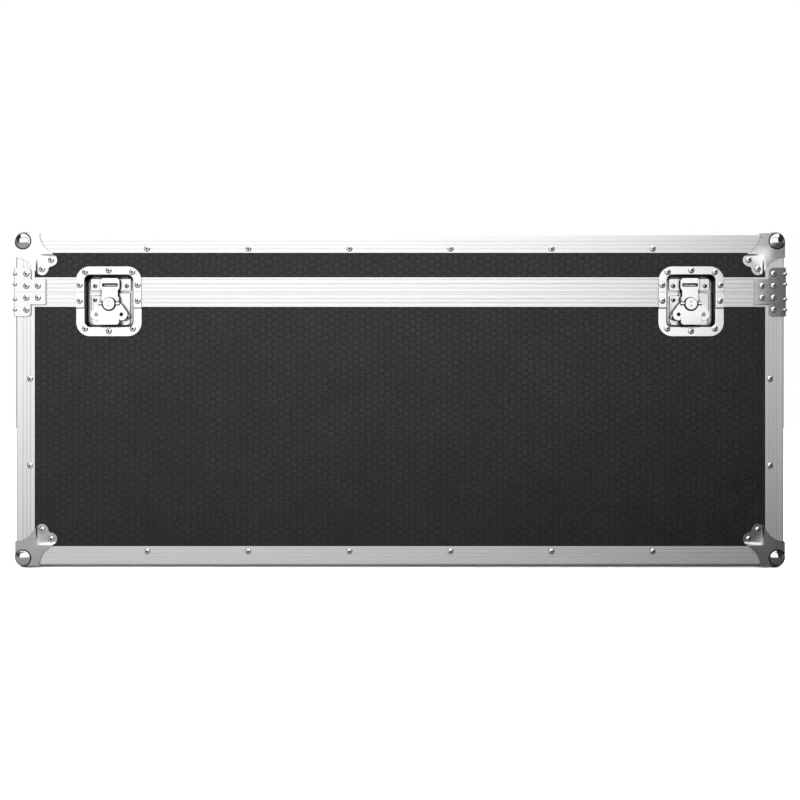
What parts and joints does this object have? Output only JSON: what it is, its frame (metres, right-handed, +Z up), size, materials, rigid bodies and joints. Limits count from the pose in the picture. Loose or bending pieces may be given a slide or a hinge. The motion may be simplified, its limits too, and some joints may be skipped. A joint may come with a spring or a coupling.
{
  "type": "flight case trunk",
  "caption": "Shallow-lid flight case: laminated panels in aluminium edging, ball corners, recessed butterfly latches, rear hinges and recessed end handles.",
  "frame": {"origin": "on the floor under the middle of the closed case, level with the undersides of its ball corners", "axes": "+X to the right along the length, seen from the latches; +Y to the back, where the hinges are; +Z up"},
  "size_m": [1.241, 0.5449, 0.541],
  "materials": {
    "laminate_panel": "charcoal laminate on plywood, lightly textured",
    "foam_lining": "black foam",
    "aluminium_extrusion": "natural anodised, fine long grain",
    "chrome_corner": "polished plating",
    "corner_brace": "plated, dull",
    "blind_rivet": "bright",
    "latch_dish": "bright plating",
    "latch_works": "bright plating",
    "hinge": "plated",
    "spring": "spring steel",
    "handle_dish": "bright plating",
    "handle_bail": "bright plating",
    "handle_grip": "moulded rubber"
  },
  "bodies": {
    "base": {"base_ball_corners": "chrome_corner", "base_bottom_edges": "aluminium_extrusion", "base_brace_rivets": "blind_rivet", "base_corner_braces": "corner_brace", "base_corner_posts": "aluminium_extrusion", "base_corner_rivets": "blind_rivet", "base_edge_rivets": "blind_rivet", "base_lining_floor": "foam_lining", "base_lining_walls": "foam_lining", "base_panel_back": "laminate_panel", "base_panel_bottom": "laminate_panel", "base_panel_front": "laminate_panel", "base_panel_left": "laminate_panel", "base_panel_right": "laminate_panel", "base_tongue_rails": "aluminium_extrusion", "handle_brackets": "handle_dish", "handle_dishes": "handle_dish", "handle_rivets": "blind_rivet", "handle_springs": "spring", "hinge_base_leaves": "hinge", "hinge_base_rivets": "blind_rivet", "hinge_pins": "hinge", "latch_base_dishes": "latch_dish", "latch_base_plates": "latch_works", "latch_base_rivets": "blind_rivet"},
    "lid": {"hinge_lid_leaves": "hinge", "hinge_lid_rivets": "blind_rivet", "latch_keepers": "latch_works", "latch_lid_dishes": "latch_dish", "latch_lid_rivets": "blind_rivet", "lid_ball_corners": "chrome_corner", "lid_brace_rivets": "blind_rivet", "lid_corner_braces": "corner_brace", "lid_corner_posts": "aluminium_extrusion", "lid_corner_rivets": "blind_rivet", "lid_edge_rivets": "blind_rivet", "lid_groove_rails": "aluminium_extrusion", "lid_lining_top": "foam_lining", "lid_lining_walls": "foam_lining", "lid_panel_back": "laminate_panel", "lid_panel_front": "laminate_panel", "lid_panel_left": "laminate_panel", "lid_panel_right": "laminate_panel", "lid_panel_top": "laminate_panel", "lid_top_edges": "aluminium_extrusion"},
    "knob_left": {"latch_knob_left": "latch_works", "latch_wing_pin_left": "latch_works"},
    "wing_left": {"latch_wing_left": "latch_works"},
    "claw_left": {"latch_claw_left": "latch_works"},
    "handle_left": {"handle_bail_left": "handle_bail", "handle_grip_left": "handle_grip"},
    "knob_right": {"latch_knob_right": "latch_works", "latch_wing_pin_right": "latch_works"},
    "wing_right": {"latch_wing_right": "latch_works"},
    "claw_right": {"latch_claw_right": "latch_works"},
    "handle_right": {"handle_bail_right": "handle_bail", "handle_grip_right": "handle_grip"}
  },
  "joints": [
    {"name": "lid_hinge", "type": "hinge", "parent": "base", "child": "lid", "pos_m": [0, 0.2705, 0.4425], "axis": [-1, 0, 0], "range_deg": [0, 100]},
    {"name": "knob_turn_left", "type": "hinge", "parent": "base", "child": "knob_left", "pos_m": [-0.4663, -0.2639, 0.4238], "axis": [0, -1, 0], "range_deg": [0, 180]},
    {"name": "claw_slide_left", "type": "slide", "parent": "base", "child": "claw_left", "axis": [0, 0, 1], "range_m": [0, 0.0028]},
    {"name": "wing_lift_left", "type": "hinge", "parent": "knob_left", "child": "wing_left", "pos_m": [-0.4663, -0.2639, 0.4238], "axis": [-1, 0, 0], "range_deg": [0, 90]},
    {"name": "handle_lift_left", "type": "hinge", "parent": "base", "child": "handle_left", "pos_m": [-0.6089, 0, 0.2895], "axis": [0, 1, 0], "range_deg": [0, 90], "stiffness_Nm_per_rad": 0.2},
    {"name": "knob_turn_right", "type": "hinge", "parent": "base", "child": "knob_right", "pos_m": [0.4663, -0.2639, 0.4238], "axis": [0, -1, 0], "range_deg": [0, 180]},
    {"name": "claw_slide_right", "type": "slide", "parent": "base", "child": "claw_right", "axis": [0, 0, 1], "range_m": [0, 0.0028]},
    {"name": "wing_lift_right", "type": "hinge", "parent": "knob_right", "child": "wing_right", "pos_m": [0.4663, -0.2639, 0.4238], "axis": [-1, 0, 0], "range_deg": [0, 90]},
    {"name": "handle_lift_right", "type": "hinge", "parent": "base", "child": "handle_right", "pos_m": [0.6089, 0, 0.2895], "axis": [0, -1, 0], "range_deg": [0, 90], "stiffness_Nm_per_rad": 0.2}
  ],
  "couplings": [
    {"joint": "knob_turn_left", "follows": "claw_slide_left", "rad_per_m": 1122},
    {"joint": "knob_turn_right", "follows": "claw_slide_right", "rad_per_m": 1122}
  ]
}
